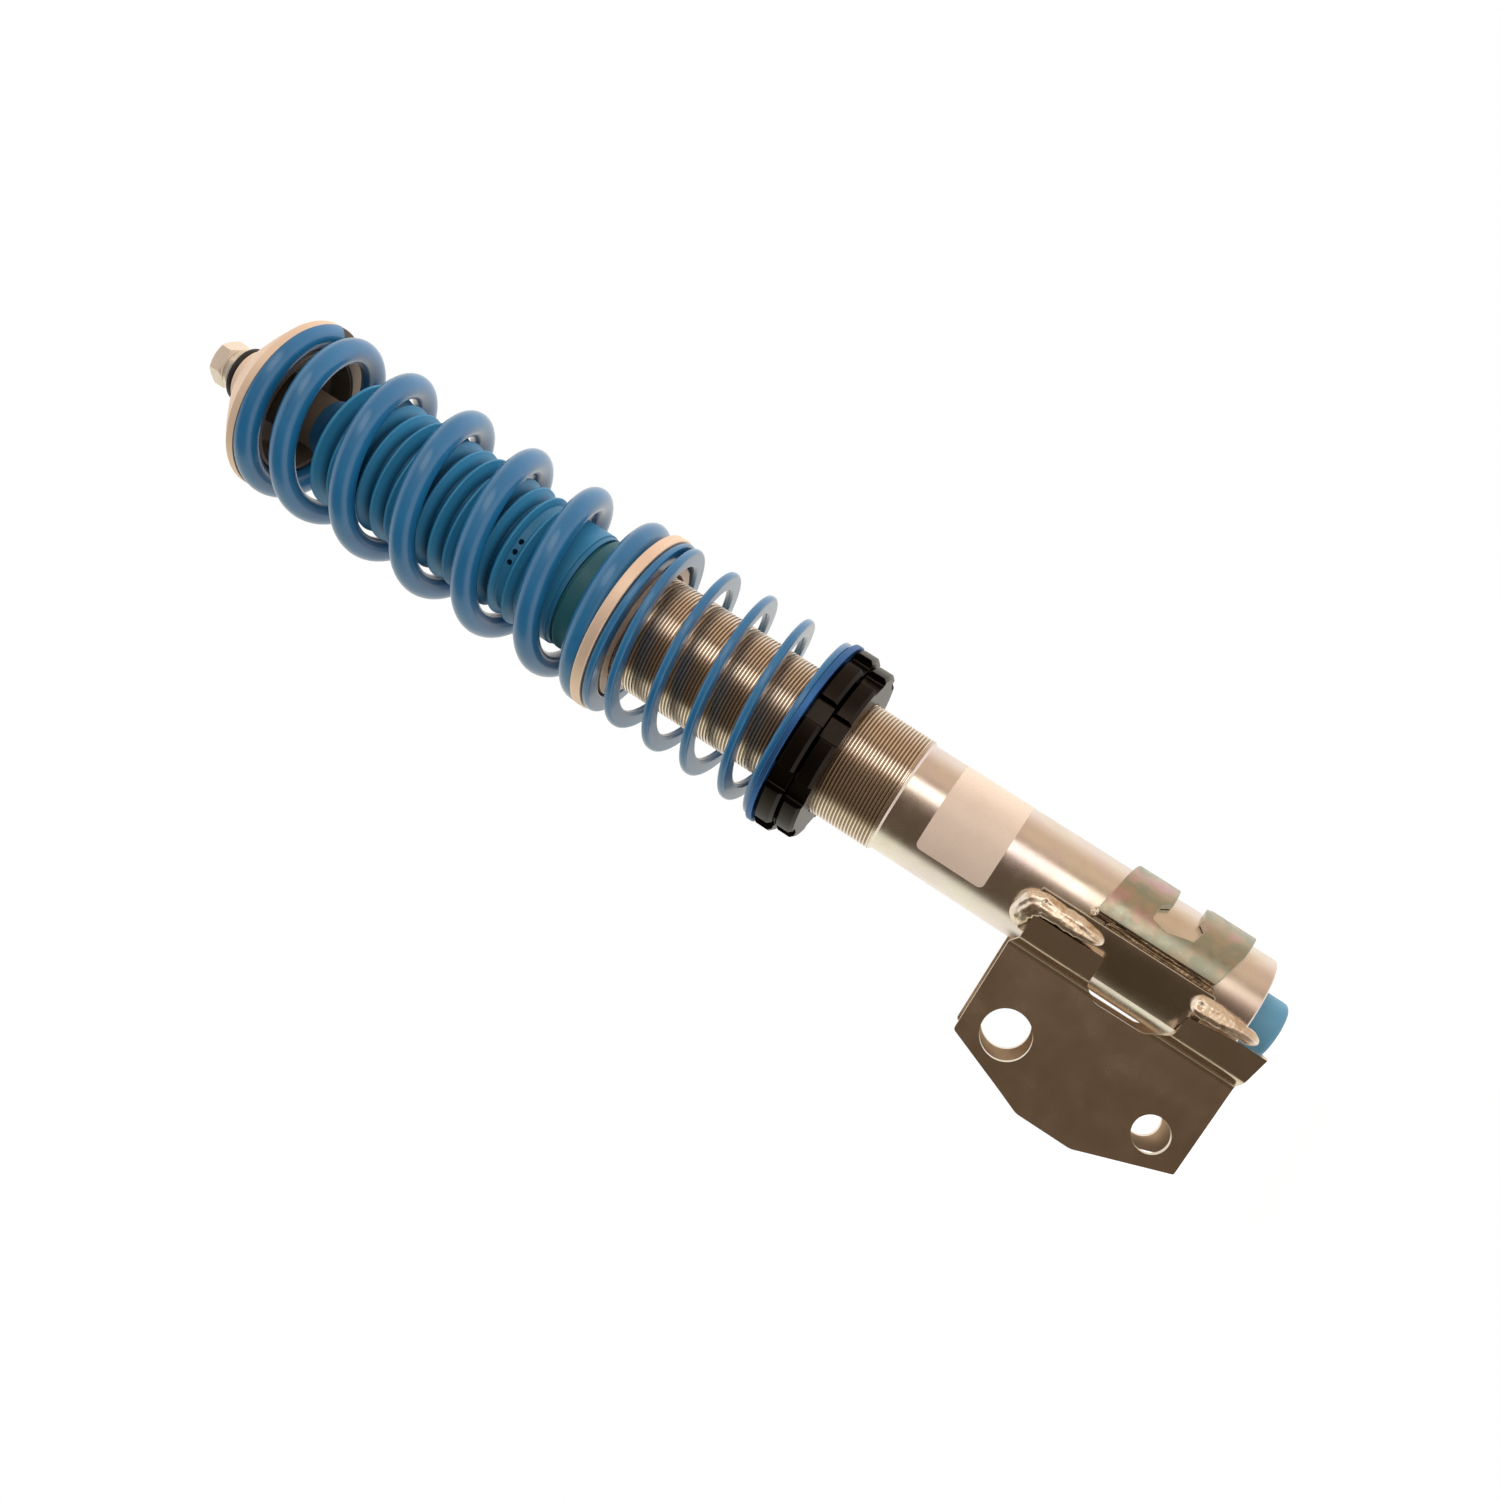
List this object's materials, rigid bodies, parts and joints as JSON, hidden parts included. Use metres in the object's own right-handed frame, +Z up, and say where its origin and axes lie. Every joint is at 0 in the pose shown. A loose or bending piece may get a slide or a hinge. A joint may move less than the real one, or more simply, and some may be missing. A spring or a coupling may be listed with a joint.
{
  "type": "suspension strut",
  "caption": "Suspension strut with a threaded tube, adjustable spring perch, main and helper springs, ribbed boot, welded knuckle ears and brake hose bracket",
  "frame": {"origin": "centre of the end cap's flat lower face", "axes": "+Z up the strut's axis to the top nut, +X towards the knuckle ears, +Y towards the near ear"},
  "size_m": [0.1212, 0.085, 0.5341],
  "materials": {
    "zinc_tube": "bright zinc plate",
    "bracket_zinc": "zinc plate, darkly reflecting",
    "passivated_steel": "iridescent passivated zinc",
    "weld_metal": "plated weld bead",
    "steel": "bright",
    "bronze": "bearing bronze",
    "champagne_aluminium": "champagne anodised",
    "black_aluminium": "black anodised",
    "perch_aluminium": "blue anodised",
    "spring_paint": "gloss blue powder coat",
    "boot_rubber": "satin blue rubber",
    "black_rubber": "satin",
    "cap_plastic": "satin blue plastic"
  },
  "bodies": {
    "housing": {"outer_tube": "zinc_tube", "tube_base": "steel", "end_cap": "cap_plastic", "knuckle_ear_near": "bracket_zinc", "knuckle_ear_far": "bracket_zinc", "doubler_near": "bracket_zinc", "doubler_far": "bracket_zinc", "weld_upper_near": "weld_metal", "weld_upper_far": "weld_metal", "weld_lower_near": "weld_metal", "weld_lower_far": "weld_metal", "brake_hose_bracket": "passivated_steel", "seal_cap": "boot_rubber", "wiper_seal": "black_rubber", "upper_guide_bush": "bronze", "lower_guide_bush": "bronze", "piston_rod": "steel", "rod_washer": "steel", "rod_nut": "steel", "bump_stop": "black_rubber", "piston": "steel", "piston_nut": "steel", "dust_boot": "boot_rubber"},
    "damper": {"damper_cylinder": "steel", "rod_guide": "steel", "top_stud": "steel", "top_plate": "champagne_aluminium", "top_spacer": "black_rubber", "top_washer": "steel", "top_nut": "steel"},
    "gas_piston": {"floating_piston": "steel"},
    "perch": {"spring_perch": "perch_aluminium", "helper_spring": "spring_paint"},
    "collar": {"adjusting_collar": "black_aluminium"},
    "lock_ring": {"lock_ring": "black_aluminium"},
    "divider": {"spring_divider": "champagne_aluminium", "main_spring": "spring_paint"}
  },
  "joints": [
    {"name": "suspension_travel", "type": "slide", "parent": "housing", "child": "damper", "axis": [0, 0, 1], "range_m": [-0.08, 0], "stiffness_N_per_m": 12000, "springref_m": 0.006, "deforming": ["main_spring", "dust_boot"]},
    {"name": "gas_piston_travel", "type": "slide", "parent": "damper", "child": "gas_piston", "axis": [0, 0, 1], "range_m": [0, 0.0125]},
    {"name": "perch_travel", "type": "slide", "parent": "housing", "child": "perch", "axis": [0, 0, 1], "range_m": [-0.027, 0]},
    {"name": "collar_turn", "type": "hinge", "parent": "perch", "child": "collar", "pos_m": [0, 0, 0.2105], "axis": [0, 0, 1], "range_deg": [-6481, 0]},
    {"name": "lock_ring_turn", "type": "hinge", "parent": "perch", "child": "lock_ring", "pos_m": [0, 0, 0.2017], "axis": [0, 0, 1], "range_deg": [-6481, 0]},
    {"name": "divider_travel", "type": "slide", "parent": "perch", "child": "divider", "axis": [0, 0, 1], "range_m": [-0.0561, 0], "deforming": ["helper_spring"]}
  ],
  "couplings": [
    {"joint": "gas_piston_travel", "follows": "suspension_travel", "ratio": -0.1512},
    {"joint": "divider_travel", "follows": "suspension_travel", "ratio": 0.7},
    {"joint": "collar_turn", "follows": "perch_travel", "rad_per_m": 4188.8},
    {"joint": "lock_ring_turn", "follows": "perch_travel", "rad_per_m": 4188.8}
  ]
}
